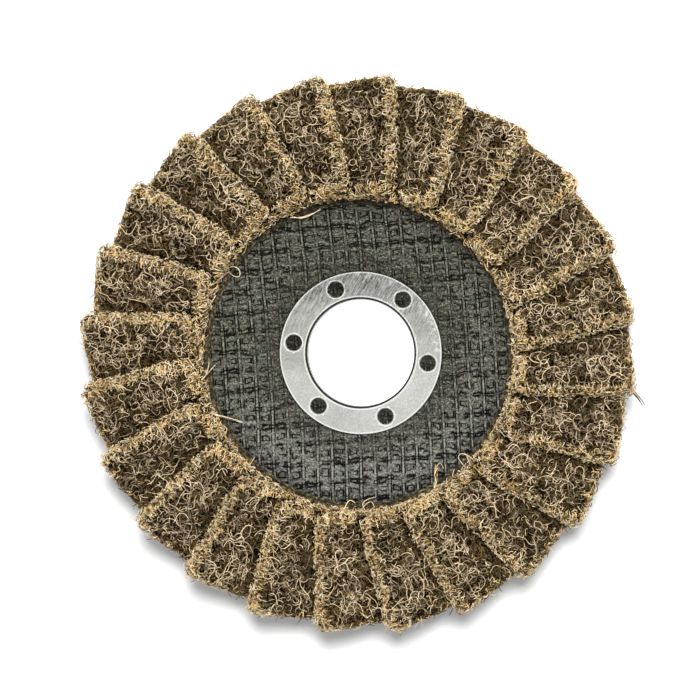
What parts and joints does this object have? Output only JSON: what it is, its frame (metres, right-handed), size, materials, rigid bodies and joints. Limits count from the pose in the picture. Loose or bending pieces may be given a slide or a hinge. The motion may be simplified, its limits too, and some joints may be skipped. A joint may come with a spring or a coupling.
{
  "type": "flap disc",
  "caption": "Coarse non-woven abrasive flap disc for an angle grinder, with a dished glass-fibre backing plate and a metal ring in the bore.",
  "frame": {"origin": "centre of the bore in the plane of the hub's back face, which bears on the grinder's flange", "axes": "+Z along the bore axis towards the working face; +Y is up in the picture of the front, +X is to its right"},
  "size_m": [0.1148, 0.1148, 0.0175],
  "materials": {
    "glass_fibre_laminate": "dark grey-green pressed resin and glass mesh, satin, the mesh raised on the front",
    "plated_steel": "plated sheet steel, light grey, finely brushed",
    "cured_adhesive": "dark brown cured resin adhesive, satin",
    "abrasive_web": "open non-woven nylon web with brown abrasive grain, curled beige fibres, tan at the cut edges"
  },
  "bodies": {
    "root": {"backing_plate": "glass_fibre_laminate", "centre_ring": "plated_steel", "adhesive_bed": "cured_adhesive", "flap_01": "abrasive_web", "flap_02": "abrasive_web", "flap_03": "abrasive_web", "flap_04": "abrasive_web", "flap_05": "abrasive_web", "flap_06": "abrasive_web", "flap_07": "abrasive_web", "flap_08": "abrasive_web", "flap_09": "abrasive_web", "flap_10": "abrasive_web", "flap_11": "abrasive_web", "flap_12": "abrasive_web", "flap_13": "abrasive_web", "flap_14": "abrasive_web", "flap_15": "abrasive_web", "flap_16": "abrasive_web", "flap_17": "abrasive_web", "flap_18": "abrasive_web", "flap_19": "abrasive_web", "flap_20": "abrasive_web", "flap_21": "abrasive_web", "flap_22": "abrasive_web", "flap_23": "abrasive_web", "flap_24": "abrasive_web"}
  },
  "joints": []
}
